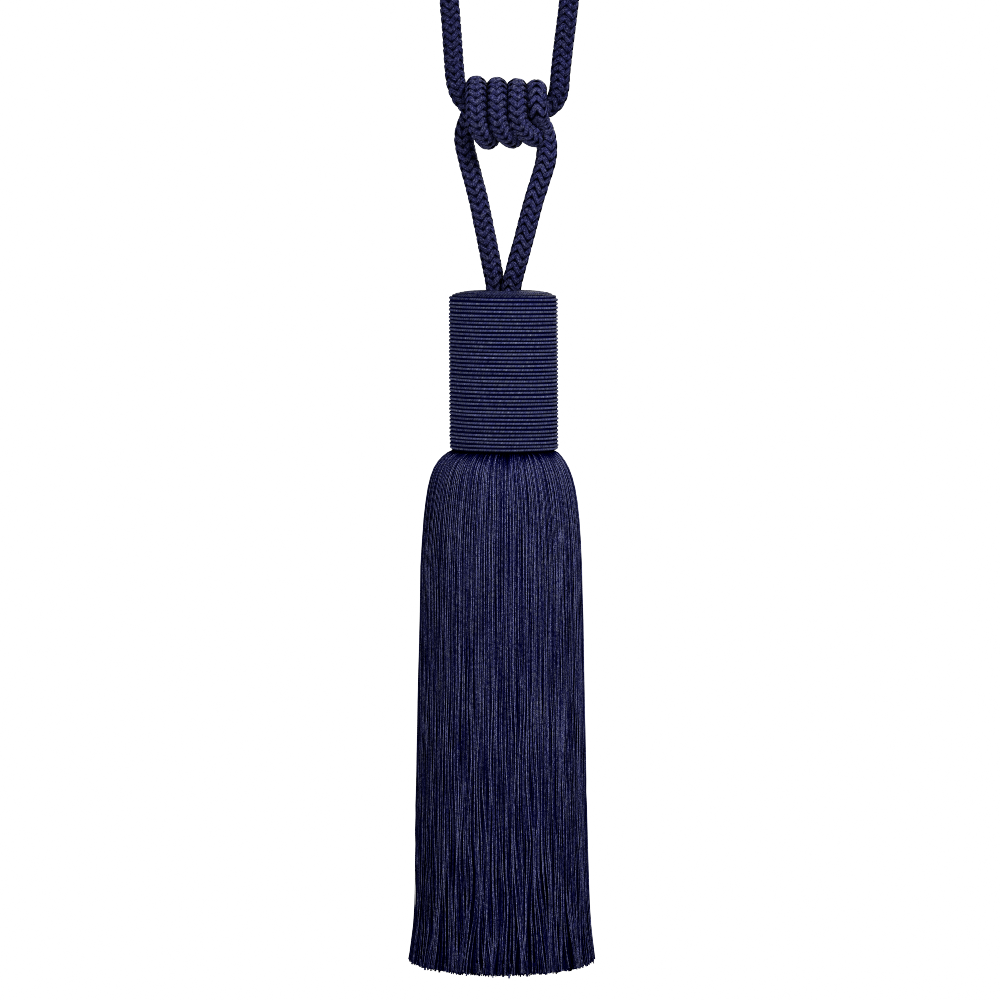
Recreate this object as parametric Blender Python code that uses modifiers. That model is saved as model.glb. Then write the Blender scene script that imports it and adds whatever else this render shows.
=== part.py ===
"""A hanging tassel: a cord-wound head with a cut-yarn skirt, slung by a coil knot from a rope loop.

Run with blender --background --python part.py. Everything is in metres, +Z up, and the front
faces -Y. The origin is the point under the top of the rope loop where a hook carries it.
"""

import math

import bmesh
import bpy
from mathutils import Vector

MM = 0.001
TURN = 2 * math.pi

# Driving dimensions
CORD_RADIUS = 4.1 * MM
GAP = 0.3 * MM

HEAD_TOP_Z = -184.4 * MM
HEAD_BOTTOM_Z = -255.6 * MM
HEAD_STEPS = 56

SKIRT_TOP_Z = HEAD_BOTTOM_Z - GAP
SKIRT_BOTTOM_Z = -485.2 * MM
SKIRT_STEPS = 96

# The coil knot: four turns side by side along X, higher than they are deep, and a little smaller
# to the right. In front the turns run straight down and then slant to the right as they pass below.
KNOT_Z = -106.0 * MM
KNOT_FIRST_X = -11.9 * MM
KNOT_TURNS = 4
KNOT_PITCH = 8.85 * MM
KNOT_COIL_RADIUS = 12.1 * MM
KNOT_DEPTH_RATIO = 0.85
KNOT_NARROWING = 0.10
KNOT_SLANT = 6.3 * MM
KNOT_SLANT_START = math.radians(99)
KNOT_LOBE_HALF_WIDTH = CORD_RADIUS + 0.1 * MM
KNOT_LOBE_HALF_ARC = math.radians(80)
KNOT_END_ARC = math.radians(150)
KNOT_LOBE_STEPS = 7
KNOT_STEPS = 32

# How far apart the points of a cord's tube lie, and how round the tube is
CORD_POINT_SPACING = 6.0 * MM
CORD_ROUNDNESS = 3
CURVE_PARTS = 12

# Points of a turned mesh this near are one
WELD_DISTANCE = 0.01 * MM

# The head's turned outline: distance from its axis, and depth below the middle of its top.
HEAD_OUTLINE = (
    # radius, depth
    (0.0, 0.0),
    (12.0, 0.15),
    (16.4, 0.45),
    (19.8, 1.2),
    (22.4, 2.3),
    (23.5, 3.3),
    (23.95, 4.6),
    (24.0, 30.0),
    (23.9, 55.0),
    (23.7, 69.6),
    (23.3, 71.2),
    (0.0, 71.2),
)

# The skirt as it hangs: depth below its top, radius there, and how far its middle has swung aside.
SKIRT_SECTIONS = (
    # depth, radius, aside
    (0.0, 23.2, 0.0),
    (1.0, 24.9, -0.2),
    (3.0, 27.1, -0.6),
    (5.3, 28.9, -0.8),
    (8.0, 30.4, -0.9),
    (12.0, 31.9, -0.9),
    (18.0, 33.4, -0.8),
    (25.0, 34.4, -0.8),
    (36.0, 35.5, -0.9),
    (50.0, 36.2, -1.0),
    (76.0, 36.8, -0.9),
    (103.0, 37.3, -0.9),
    (130.0, 37.9, -1.0),
    (155.0, 38.4, -1.0),
    (178.0, 38.8, -0.8),
    (197.0, 39.1, -0.5),
    (209.0, 39.6, -0.4),
    (217.0, 40.4, -0.5),
    (224.0, 41.5, -0.7),
    (229.3, 42.3, -0.7),
)

# The soft locks that the yarn gathers into: how many round the skirt, how deep, and their phase.
# They are shallow under the head, reach their full depth low down, and turn slowly round the skirt.
SKIRT_LOCKS = (
    # count, depth, phase
    (11, 0.20, 0.4),
    (17, 0.16, 2.1),
    (26, 0.12, 4.4),
)
LOCK_SHARE_AT_TOP = 0.25
LOCK_SHARE_GAINED = 1.1
LOCK_TWIST = 1.5

# The rope loop's middle line: out of the coil at the right, over the hook, and back in at the left.
LOOP_ROUTE = (
    # x, y, z
    (2.0, 0.0, -105.8),
    (9.6, 0.2, -105.8),
    (15.8, 0.9, -105.1),
    (20.6, 0.9, -103.2),
    (23.6, 0.6, -99.8),
    (24.9, 0.3, -95.2),
    (25.4, 0.1, -88.0),
    (27.2, 0.0, -72.7),
    (29.2, 0.0, -56.1),
    (30.2, 0.0, -40.7),
    (28.9, 0.0, -24.0),
    (23.4, 0.0, -9.6),
    (13.0, 0.0, 1.0),
    (0.0, 0.0, 4.1),
    (-13.2, 0.0, 1.0),
    (-22.4, 0.0, -9.6),
    (-26.0, 0.0, -24.0),
    (-25.6, 0.0, -40.7),
    (-23.9, 0.0, -56.1),
    (-22.6, 0.0, -72.7),
    (-21.6, 0.1, -87.0),
    (-20.8, 0.3, -93.4),
    (-18.6, 0.5, -98.9),
    (-14.8, 0.5, -103.0),
    (-9.6, 0.2, -105.3),
    (-4.0, 0.0, -105.8),
)

# The left leg's middle line, from behind the coil's first turn down into the head.
LEFT_LEG_ROUTE = (
    # x, y, z
    (-14.4, 9.4, -108.4),
    (-16.3, 8.5, -111.2),
    (-17.3, 7.6, -114.9),
    (-17.3, 6.8, -119.0),
    (-16.2, 6.0, -124.4),
    (-11.0, 4.3, -144.5),
    (-4.6, 2.7, -176.1),
    (-3.3, 2.4, -183.3),
)

# The right leg's middle line, from the front of the coil's last turn down into the head.
RIGHT_LEG_ROUTE = (
    # x, y, z
    (19.9, -4.6, -121.4),
    (19.2, -4.6, -127.0),
    (13.7, -4.0, -144.5),
    (5.3, -2.7, -176.1),
    (3.6, -2.4, -183.1),
)

# Finishes: base colour and roughness, all of them unpolished navy yarn
ROPE_FINISH = ((0.026, 0.028, 0.082), 0.82)
HEAD_FINISH = ((0.034, 0.038, 0.098), 0.74)
SKIRT_FINISH = ((0.028, 0.030, 0.086), 0.80)


def clear_scene():
    """Removes every object that a new file starts with."""
    for old in list(bpy.data.objects):
        bpy.data.objects.remove(old)


def finish_of(name, finish):
    """A plain material with this colour and roughness."""
    colour, roughness = finish
    material = bpy.data.materials.new(name)
    material.use_nodes = True
    shader = material.node_tree.nodes["Principled BSDF"]
    shader.inputs["Base Color"].default_value = (*colour, 1.0)
    shader.inputs["Roughness"].default_value = roughness
    shader.inputs["Metallic"].default_value = 0.0
    return material


def smooth_route(table, closed=False):
    """Evenly spaced points on a smooth curve through a table of route points in millimetres."""
    route = [Vector(row) * MM for row in table]
    spans = len(route) if closed else len(route) - 1

    def route_point(index):
        if closed:
            return route[index % len(route)]
        return route[min(max(index, 0), len(route) - 1)]

    fine = []
    for index in range(spans):
        before, start, end, after = (route_point(index + step) for step in (-1, 0, 1, 2))
        pull = (end - start).length / 3
        leave = (end - before).normalized() * pull
        arrive = (after - start).normalized() * pull
        for part in range(CURVE_PARTS):
            t = part / CURVE_PARTS
            s = 1 - t
            fine.append(
                start * s**3
                + (start + leave) * 3 * s * s * t
                + (end - arrive) * 3 * s * t * t
                + end * t**3
            )
    fine.append(route_point(spans))
    lengths = [0.0]
    for a, b in zip(fine, fine[1:]):
        lengths.append(lengths[-1] + (b - a).length)
    pieces = max(2, round(lengths[-1] / CORD_POINT_SPACING))
    points = []
    at = 0
    for piece in range(pieces + 1):
        wanted = lengths[-1] * piece / pieces
        while at < len(fine) - 2 and lengths[at + 1] < wanted:
            at += 1
        share = (wanted - lengths[at]) / (lengths[at + 1] - lengths[at])
        points.append(fine[at].lerp(fine[at + 1], share))
    return points[:-1] if closed else points


def cord_tube(name, points, radius, closed=False):
    """A plain round tube along these points."""
    curve = bpy.data.curves.new(name, "CURVE")
    curve.dimensions = "3D"
    curve.bevel_depth = radius
    curve.bevel_resolution = CORD_ROUNDNESS
    curve.use_fill_caps = not closed
    spline = curve.splines.new("POLY")
    spline.points.add(len(points) - 1)
    for curve_point, point in zip(spline.points, points):
        curve_point.co = (*point, 1.0)
    spline.use_cyclic_u = closed
    return bpy.data.objects.new(name, curve)


def turned(name, outline, steps):
    """A solid of revolution about Z from (radius, height) pairs that run from top to bottom."""
    mesh = bpy.data.meshes.new(name)
    vertices = [(radius, 0.0, height) for radius, height in outline]
    edges = [(i, i + 1) for i in range(len(vertices) - 1)]
    mesh.from_pydata(vertices, edges, [])
    solid = bpy.data.objects.new(name, mesh)
    screw = solid.modifiers.new("turn", "SCREW")
    screw.axis = "Z"
    screw.angle = TURN
    screw.steps = steps
    screw.render_steps = steps
    screw.use_merge_vertices = True
    screw.merge_threshold = WELD_DISTANCE
    return solid


def settled_mesh(solid, name, move=None):
    """The object's own mesh with its modifiers applied and each point moved by a function."""
    bpy.context.scene.collection.objects.link(solid)
    bpy.context.view_layer.update()
    graph = bpy.context.evaluated_depsgraph_get()
    mesh = bpy.data.meshes.new_from_object(solid.evaluated_get(graph), depsgraph=graph)
    bpy.data.objects.remove(solid)
    work = bmesh.new()
    work.from_mesh(mesh)
    bmesh.ops.remove_doubles(work, verts=work.verts, dist=WELD_DISTANCE)
    if move is not None:
        for vertex in work.verts:
            vertex.co = move(vertex.co)
    bmesh.ops.recalc_face_normals(work, faces=work.faces)
    work.to_mesh(mesh)
    work.free()
    mesh.name = name
    return bpy.data.objects.new(name, mesh)


def shade(solid, sharp_degrees=50):
    """Smooth shading that keeps real edges."""
    solid.data.shade_smooth()
    solid.data.set_sharp_from_angle(angle=math.radians(sharp_degrees))


def make_head():
    """The wound head: a drum with a softly domed top."""
    outline = [(radius * MM, HEAD_TOP_Z - depth * MM) for radius, depth in HEAD_OUTLINE]
    head = settled_mesh(turned("head_turned", outline, HEAD_STEPS), "head")
    shade(head)
    return head


def skirt_aside(depth):
    """How far the skirt's middle hangs to one side at this depth below its top."""
    rows = SKIRT_SECTIONS
    for upper, lower in zip(rows, rows[1:]):
        if depth <= lower[0] * MM:
            share = (depth / MM - upper[0]) / (lower[0] - upper[0])
            return (upper[2] + (lower[2] - upper[2]) * share) * MM
    return rows[-1][2] * MM


def hang_skirt(point):
    """Gathers a turned skirt's point into the yarn's soft locks and lets the skirt swing aside."""
    radius = math.hypot(point.x, point.y)
    depth = max(0.0, SKIRT_TOP_Z - point.z)
    if radius < WELD_DISTANCE:
        return Vector((skirt_aside(depth), 0.0, point.z))
    down = depth / (SKIRT_TOP_Z - SKIRT_BOTTOM_Z)
    loose = min(1.0, LOCK_SHARE_AT_TOP + LOCK_SHARE_GAINED * down)
    angle = math.atan2(point.y, point.x)
    lock = sum(
        deep * math.sin(count * angle + phase + LOCK_TWIST * down)
        for count, deep, phase in SKIRT_LOCKS
    )
    share = 1 + loose * lock * MM / radius
    return Vector((point.x * share + skirt_aside(depth), point.y * share, point.z))


def make_skirt():
    """The cut-yarn skirt: one full fringe from under the head to its trimmed edge."""
    outline = [(radius * MM, SKIRT_TOP_Z - depth * MM) for depth, radius, _ in SKIRT_SECTIONS]
    outline = [(0.0, SKIRT_TOP_Z), *outline, (0.0, outline[-1][1])]
    skirt = settled_mesh(turned("skirt_turned", outline, SKIRT_STEPS), "skirt", hang_skirt)
    shade(skirt)
    return skirt


def coil_outline():
    """The coil's outline along its axis: one round lobe for each turn, and dished ends."""
    outline = []
    for turn in reversed(range(KNOT_TURNS)):
        start = KNOT_END_ARC if turn == KNOT_TURNS - 1 else KNOT_LOBE_HALF_ARC
        end = -KNOT_END_ARC if turn == 0 else -KNOT_LOBE_HALF_ARC
        steps = round(KNOT_LOBE_STEPS * (start - end) / (2 * KNOT_LOBE_HALF_ARC))
        for step in range(steps + 1):
            angle = start + (end - start) * step / steps
            along = turn * KNOT_PITCH + KNOT_LOBE_HALF_WIDTH * math.sin(angle)
            outline.append((KNOT_COIL_RADIUS + CORD_RADIUS * math.cos(angle), along))
    return [(0.0, outline[0][1]), *outline, (0.0, outline[-1][1])]


def slant_at(angle):
    """The share of the slant that a turn has at this angle from its top, going down in front first."""
    if angle < KNOT_SLANT_START:
        return 0.0
    if angle < math.pi:
        return ((angle - KNOT_SLANT_START) / (math.pi - KNOT_SLANT_START)) ** 1.3
    return 0.5 - 0.5 * math.cos(angle)


def lay_coil(point):
    """Lays a turned coil along X, narrows it to the right and slants its turns as they pass below."""
    along = point.z
    angle = math.atan2(point.y, point.x) % TURN
    radius = math.hypot(point.x, point.y)
    narrow = 1 - KNOT_NARROWING * along / (KNOT_PITCH * KNOT_TURNS)
    outward = min(1.0, radius / KNOT_COIL_RADIUS)
    across = KNOT_FIRST_X + along + KNOT_SLANT * slant_at(angle) * outward
    back = -radius * math.sin(angle) * narrow * KNOT_DEPTH_RATIO
    up = KNOT_Z + radius * math.cos(angle) * narrow
    return Vector((across, back, up))


def lengthened(points, extra):
    """The same route, run on by a little at both ends."""
    first = points[0] + (points[0] - points[1]).normalized() * extra
    last = points[-1] + (points[-1] - points[-2]).normalized() * extra
    return [first, *points[1:-1], last]


def cut_channel(solid, name, points, closed, cutters):
    """Leaves room in a solid for a cord, with the gap that meeting pieces keep."""
    route = points if closed else lengthened(points, GAP)
    tube = cord_tube(f"{name}_tube", route, CORD_RADIUS + GAP, closed)
    cutter = settled_mesh(tube, name)
    cutter.hide_render = True
    cutter.display_type = "WIRE"
    cutters.objects.link(cutter)
    cut = solid.modifiers.new(name, "BOOLEAN")
    cut.operation = "DIFFERENCE"
    cut.solver = "EXACT"
    cut.object = cutter


def make_knot(loop_points, left_points, cutters):
    """The coil of the tassel's cord round the rope loop, with room for the cords that enter it."""
    knot = settled_mesh(turned("knot_turned", coil_outline(), KNOT_STEPS), "cord_knot", lay_coil)
    shade(knot)
    cut_channel(knot, "loop_channel", loop_points, True, cutters)
    cut_channel(knot, "left_leg_channel", left_points, False, cutters)
    return knot


def main():
    clear_scene()
    tassel = bpy.data.collections.new("tassel")
    cutters = bpy.data.collections.new("cutters")
    bpy.context.scene.collection.children.link(tassel)
    bpy.context.scene.collection.children.link(cutters)

    rope = finish_of("rope", ROPE_FINISH)
    wound = finish_of("wound_cord", HEAD_FINISH)
    yarn = finish_of("cut_yarn", SKIRT_FINISH)

    loop_points = smooth_route(LOOP_ROUTE, closed=True)
    left_points = smooth_route(LEFT_LEG_ROUTE)
    right_points = smooth_route(RIGHT_LEG_ROUTE)

    pieces = (
        (make_head(), wound),
        (make_skirt(), yarn),
        (make_knot(loop_points, left_points, cutters), rope),
        (cord_tube("hanging_loop", loop_points, CORD_RADIUS, closed=True), rope),
        (cord_tube("cord_leg_left", left_points, CORD_RADIUS), rope),
        (cord_tube("cord_leg_right", right_points, CORD_RADIUS), rope),
    )
    for piece, finish in pieces:
        piece.data.materials.clear()
        piece.data.materials.append(finish)
        tassel.objects.link(piece)


main()
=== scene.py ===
"""The looks of a hanging tassel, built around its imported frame.

A braided rope loop carries the tassel by a coil knot. The knot is wound from the tassel's own
braided cord, whose two ends run down as legs into a cord-wound head. A skirt of cut yarn hangs
under the head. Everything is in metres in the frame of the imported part, with +Z up and the front
facing -Y; the tables of measured places are in millimetres.
"""

import logging
import math
from collections.abc import Iterable
from dataclasses import dataclass, field, replace
from enum import Enum

import bpy
import numpy as np
from mathutils import Euler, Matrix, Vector


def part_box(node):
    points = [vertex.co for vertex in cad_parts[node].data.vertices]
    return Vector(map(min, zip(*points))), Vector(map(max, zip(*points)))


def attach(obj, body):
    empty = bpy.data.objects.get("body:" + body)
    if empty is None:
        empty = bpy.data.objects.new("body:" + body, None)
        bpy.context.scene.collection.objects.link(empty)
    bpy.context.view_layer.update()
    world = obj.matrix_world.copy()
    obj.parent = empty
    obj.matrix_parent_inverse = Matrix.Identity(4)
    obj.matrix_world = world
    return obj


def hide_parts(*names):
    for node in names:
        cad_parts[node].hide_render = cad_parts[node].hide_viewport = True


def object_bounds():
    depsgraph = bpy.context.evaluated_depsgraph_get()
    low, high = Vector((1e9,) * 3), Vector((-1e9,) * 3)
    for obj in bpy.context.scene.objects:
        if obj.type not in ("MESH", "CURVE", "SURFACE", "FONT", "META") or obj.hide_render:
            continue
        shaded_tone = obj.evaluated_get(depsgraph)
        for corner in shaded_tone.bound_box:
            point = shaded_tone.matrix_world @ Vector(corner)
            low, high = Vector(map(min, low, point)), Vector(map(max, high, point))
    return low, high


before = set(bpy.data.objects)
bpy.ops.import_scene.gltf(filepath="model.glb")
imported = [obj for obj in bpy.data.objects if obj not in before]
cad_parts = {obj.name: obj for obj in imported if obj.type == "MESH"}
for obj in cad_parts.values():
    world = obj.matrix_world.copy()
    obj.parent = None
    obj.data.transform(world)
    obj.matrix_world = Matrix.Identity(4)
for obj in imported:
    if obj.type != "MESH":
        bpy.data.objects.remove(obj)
CAD_BOX = [list(corner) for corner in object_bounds()]

MM = 0.001
TURN = 2 * math.pi

# Names of the maps that every strand mesh carries
FIBRE_MAP = "fibre"  # share of the way round a strand, and millimetres along it
STRAND_MAP = "strand"  # the strand's tone there, with painted shade in it, and the strand's number
LAYOUT_MAP = "OFBake"  # the strands laid flat side by side

# A slow wander is three waves of these shares of its length, each a little longer or shorter
DRIFT_WAVES = (0.55, 1.0, 1.9)
DRIFT_SPREAD = (0.8, 1.25)
DRIFT_HEIGHT = 1.8
# What spreads a noise texture's value over the whole of 0 to 1
NOISE_GAIN = 2.4
NOISE_SHIFT = -0.7

Place = tuple[float, float, float]
Row = tuple[float, ...]
Table = tuple[Row, ...]
Array = np.ndarray
Rng = np.random.Generator
Socket = bpy.types.NodeSocket
Tree = bpy.types.NodeTree
Inputs = dict[str | int, object]

log = logging.getLogger("tassel")


class TwistHand(Enum):
    """Which way a strand winds as it goes along."""

    S = -1
    Z = 1


class Slot(Enum):
    """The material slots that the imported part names."""

    ROPE = "rope"
    WOUND_CORD = "wound_cord"
    CUT_YARN = "cut_yarn"


# === Small mathematics ===


def unit(vectors: Array) -> Array:
    """Scales the vectors on an array's last axis to a length of one."""
    return vectors / np.maximum(np.linalg.norm(vectors, axis=-1, keepdims=True), 1e-12)


def lengths_along(points: Array) -> Array:
    """Adds up the steps along lines of points, from 0 at the first point of each."""
    steps = np.linalg.norm(np.diff(points, axis=-2), axis=-1)
    return np.insert(np.cumsum(steps, axis=-1), 0, 0.0, axis=-1)


def read_rows(at: Array, along: Array, rows: Array) -> Array:
    """Reads rows of values at places between them.

    Args:
        at: where to read.
        along: where each row lies.
        rows: the values, one row for each of those places.

    Returns:
        The values at the places that are read, with a row's columns on the last axis.
    """
    return np.stack([np.interp(at, along, column) for column in rows.T], axis=-1)


def table_value(at: Array, table: Table, column: int = 1) -> Array:
    """Reads a column of a table by straight interpolation.

    Args:
        at: where to read, in the units of the table's first column.
        table: rows in order of their first column.
        column: the column that is read.

    Returns:
        The value at each place.
    """
    rows = np.array(table, float)
    return np.interp(at, rows[:, 0], rows[:, column])


def within(at: Array, stretch: Row) -> Array:
    """Marks a stretch with 1. Its four places say where it begins, is full, fades and ends."""
    return np.interp(at, stretch, (0.0, 1.0, 1.0, 0.0))


def rounded(at: Array) -> Array:
    """Eases a share from 0 to 1 so that it starts and ends level."""
    held = np.clip(at, 0.0, 1.0)
    return held * held * (3 - 2 * held)


def past(share: Array, begin: float) -> Array:
    """Counts the rest of a share afresh, from 0 where it begins to 1 at the end."""
    return (share - begin) / (1 - begin)


def round_axis(radius: Array | float, angle: Array, aside: Array | float, height: Array | float) -> Array:
    """Places points round an upright line.

    Args:
        radius: how far each point is from the line.
        angle: where it lies round the line.
        aside: how far the line stands to the right there.
        height: how high the point is.

    Returns:
        The points, with their three parts on the last axis.
    """
    x = radius * np.cos(angle) + aside
    return np.stack(np.broadcast_arrays(x, radius * np.sin(angle), height), axis=-1)


def drift(rng: Rng, count: int, at: Array, wave: float) -> Array:
    """Gives each strand its own slow wander along its length.

    Args:
        rng: the source of random numbers.
        count: how many strands wander.
        at: places along a strand, one row for all strands or one row each.
        wave: the usual length of one wave, in the units of the places.

    Returns:
        Offsets of about unit size, one row per strand.
    """
    total = np.zeros((count, at.shape[-1]))
    for share in DRIFT_WAVES:
        phase = rng.uniform(0, TURN, (count, 1))
        length = wave * share * rng.uniform(*DRIFT_SPREAD, (count, 1))
        total += share**0.5 * np.sin(TURN * at / length + phase)
    return total / DRIFT_HEIGHT


def added(name: str, data: bpy.types.ID) -> bpy.types.Object:
    """Makes an object and links it to the scene.

    Args:
        name: the object's name.
        data: its mesh, lamp or camera.

    Returns:
        The new object.
    """
    made = bpy.data.objects.new(name, data)
    bpy.context.scene.collection.objects.link(made)
    return made


# === Routes ===


@dataclass
class Route:
    """A smooth line through measured places, with a frame that doesn't spin as it goes."""

    places: tuple[Place, ...]
    facing: Place = (0.0, -1.0, 0.0)
    step: float = 0.5 * MM
    span_steps: int = 24
    smoothings: int = 12
    points: Array = field(init=False)
    along: Array = field(init=False)
    side: Array = field(init=False)
    other: Array = field(init=False)

    def __post_init__(self) -> None:
        """Traces the line and carries its frame along it."""
        self.points = self.traced()
        self.along = lengths_along(self.points)
        self.side, self.other = self.carried_frame()

    @property
    def length(self) -> float:
        """The whole length of the line."""
        return float(self.along[-1])

    def traced(self) -> Array:
        """Draws a Bezier span between each two places, and softens the joins.

        Returns:
            Points a step apart, in metres.
        """
        given = np.array(self.places, float) * MM
        padded = np.concatenate([given[:1], given, given[-1:]])
        before, start, end, after = padded[:-3], padded[1:-2], padded[2:-1], padded[3:]
        pull = np.linalg.norm(end - start, axis=1, keepdims=True) / 3
        leave = start + unit(end - before) * pull
        arrive = end - unit(after - start) * pull
        t = np.linspace(0, 1, self.span_steps, endpoint=False)[None, :, None]
        s = 1 - t
        inner = leave[:, None] * 3 * s * s * t + arrive[:, None] * 3 * s * t * t
        spans = start[:, None] * s**3 + inner + end[:, None] * t**3
        fine = np.concatenate([spans.reshape(-1, 3), given[-1:]])
        lengths = lengths_along(fine)
        wanted = np.linspace(0, lengths[-1], max(2, round(lengths[-1] / self.step)) + 1)
        line = read_rows(wanted, lengths, fine)
        for _ in range(self.smoothings):
            line[1:-1] = (line[:-2] + 2 * line[1:-1] + line[2:]) / 4
        return line

    def carried_frame(self) -> tuple[Array, Array]:
        """Carries two directions across the line from its start to its end.

        Returns:
            The two directions at each point, square to the line and to each other.
        """
        tangents = unit(np.gradient(self.points, axis=0))
        side = np.empty_like(tangents)
        held = np.array(self.facing, float)
        for index, tangent in enumerate(tangents):
            held = unit(held - tangent * float(held @ tangent))
            side[index] = held
        return side, np.cross(tangents, side)

    def at(self, distance: Array) -> tuple[Array, Array, Array]:
        """Reads the line and its frame.

        Args:
            distance: distances along the line, in metres.

        Returns:
            The points, and the two directions across the line.
        """
        kept = (self.points, self.side, self.other)
        point, side, other = (read_rows(distance, self.along, rows) for rows in kept)
        return point, unit(side), unit(other)

    def stations(self, count: int) -> list[list[float]]:
        """Evenly spaced points of the line as plain lists."""
        return self.at(np.linspace(0, self.length, count))[0].tolist()


# === Strand meshes ===


def swept(
    centres: Array,
    outward: Array,
    half_width: Array,
    half_height: Array,
    sides: int,
    squareness: float = 1.0,
) -> Array:
    """Sweeps an oval section along many lines at once.

    Args:
        centres: the lines, as strands by rings by 3.
        outward: roughly the way each ring's top faces, in the same shape.
        half_width: half the section's width at each ring.
        half_height: half the section's height at each ring.
        sides: how many sides the section has.
        squareness: 1 for an oval, and less for fuller shoulders.

    Returns:
        The points of the rings, as strands by rings by sides by 3.
    """
    tangent = unit(np.gradient(centres, axis=1))
    top = unit(outward - tangent * np.sum(outward * tangent, axis=-1, keepdims=True))
    across = np.cross(tangent, top)
    turn = TURN * np.arange(sides) / sides + math.pi
    up, over = (np.sign(way) * np.abs(way) ** squareness for way in (np.cos(turn), np.sin(turn)))
    return (
        centres[:, :, None]
        + top[:, :, None] * (half_height[..., None] * up)[..., None]
        + across[:, :, None] * (half_width[..., None] * over)[..., None]
    )


@dataclass
class StrandMesh:
    """Many closed strands in one mesh, all with as many rings and sides as each other."""

    name: str
    rings: Array
    tone: Array = field(default_factory=lambda: np.array([0.5]))
    layout_rows: int = 1
    row_margin: float = 0.04
    cap_reach: float = 0.3
    cap_squeeze: float = 0.02
    cap_places: tuple[float, float] = (0.002, 0.998)

    def faces(self) -> tuple[Array, Array]:
        """Numbers the corners of the side faces and of the end caps.

        Returns:
            The quads of the sides, and the caps with one corner for each side of a strand.
        """
        strands, rings, sides, _ = self.rings.shape
        first = np.arange(strands)[:, None, None] * rings * sides
        ring = np.arange(rings - 1)[None, :, None] * sides
        side = np.arange(sides)
        near = first + ring + side
        far = first + ring + (side + 1) % sides
        quads = np.stack([near, far, far + sides, near + sides], axis=-1)
        start_cap = first[:, 0] + side[::-1]
        end_cap = first[:, 0] + (rings - 1) * sides + side
        return quads.reshape(-1, 4), np.concatenate([start_cap, end_cap], axis=1).reshape(-1, sides)

    def corners(self, x: Array, y: Array) -> Array:
        """Reads two values at the corners of the side faces.

        Args:
            x: a value for each strand, face along it, near and far end, and edge round it.
            y: the other value, in the same way.

        Returns:
            Both values at each corner, in the order of the faces.
        """
        strands, rings, sides, _ = self.rings.shape
        shape = (strands, rings - 1, 2, sides + 1)
        near, far = np.moveaxis(np.stack([np.broadcast_to(v, shape) for v in (x, y)], axis=-1), 2, 0)
        four = (near[:, :, :-1], near[:, :, 1:], far[:, :, 1:], far[:, :, :-1])
        return np.stack(four, axis=3).reshape(-1, 2)

    def maps(self) -> dict[str, Array]:
        """Works out the strand maps at every corner, with the side faces first.

        Returns:
            Each map by name. The layout has every strand in rows of its own, with no two faces
            on each other.
        """
        strands, rings, sides, _ = self.rings.shape
        number = np.arange(strands)[:, None]
        tone = np.broadcast_to(self.tone.reshape(strands, -1), (strands, rings))
        values = (lengths_along(self.rings.mean(axis=2)) / MM, tone, number.repeat(rings, 1))
        length, tone, which = (np.stack([v[:, :-1], v[:, 1:]], axis=2)[..., None] for v in values)
        turn = np.arange(sides + 1) / sides
        step = np.arange(rings - 1)
        per_row = -(-(rings - 1) // self.layout_rows)
        along = (step[:, None, None] % per_row + np.array([[0], [1]])) / per_row
        row = (number * self.layout_rows + step // per_row)[..., None, None]
        across = row + self.row_margin + (1 - 2 * self.row_margin) * turn
        reach = self.cap_reach / (strands * self.layout_rows)
        cap_x = np.array(self.cap_places)[:, None] + self.cap_squeeze * reach * np.cos(TURN * turn)
        cap_y = (number[..., None] + 0.5) / strands + reach * np.sin(TURN * turn)
        ends = [v[:, [0, -1], None] for v in values]
        laid = {
            FIBRE_MAP: (turn, length, turn, ends[0]),
            STRAND_MAP: (tone, which, ends[1], ends[2]),
            LAYOUT_MAP: (along, across / (strands * self.layout_rows), cap_x, cap_y),
        }
        maps = {}
        for name, (x, y, *caps) in laid.items():
            cap = np.stack([np.broadcast_to(v, (strands, 2, sides + 1)) for v in caps], axis=-1)
            maps[name] = np.concatenate([self.corners(x, y), cap[:, :, :-1].reshape(-1, 2)])
        return maps

    def build(self) -> bpy.types.Object:
        """Makes the mesh object and links it to the scene.

        Returns:
            The new object, smooth along its sides and flat at its cut ends.
        """
        quads, caps = self.faces()
        sides = self.rings.shape[2]
        corners = np.concatenate([quads.ravel(), caps.ravel()]).astype(np.int32)
        totals = np.repeat([4, sides], [len(quads), len(caps)]).astype(np.int32)
        mesh = bpy.data.meshes.new(self.name)
        mesh.vertices.add(self.rings.size // 3)
        mesh.vertices.foreach_set("co", self.rings.astype(np.float32).ravel())
        mesh.loops.add(len(corners))
        mesh.loops.foreach_set("vertex_index", corners)
        mesh.polygons.add(len(totals))
        mesh.polygons.foreach_set("loop_start", (np.cumsum(totals) - totals).astype(np.int32))
        mesh.polygons.foreach_set("loop_total", totals)
        mesh.polygons.foreach_set("use_smooth", np.arange(len(totals)) < len(quads))
        mesh.update(calc_edges=True)
        for name, values in self.maps().items():
            layer = mesh.uv_layers.new(name=name)
            layer.data.foreach_set("uv", values.astype(np.float32).ravel())
        mesh.validate()
        return added(self.name, mesh)


# === Finishes ===


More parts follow.
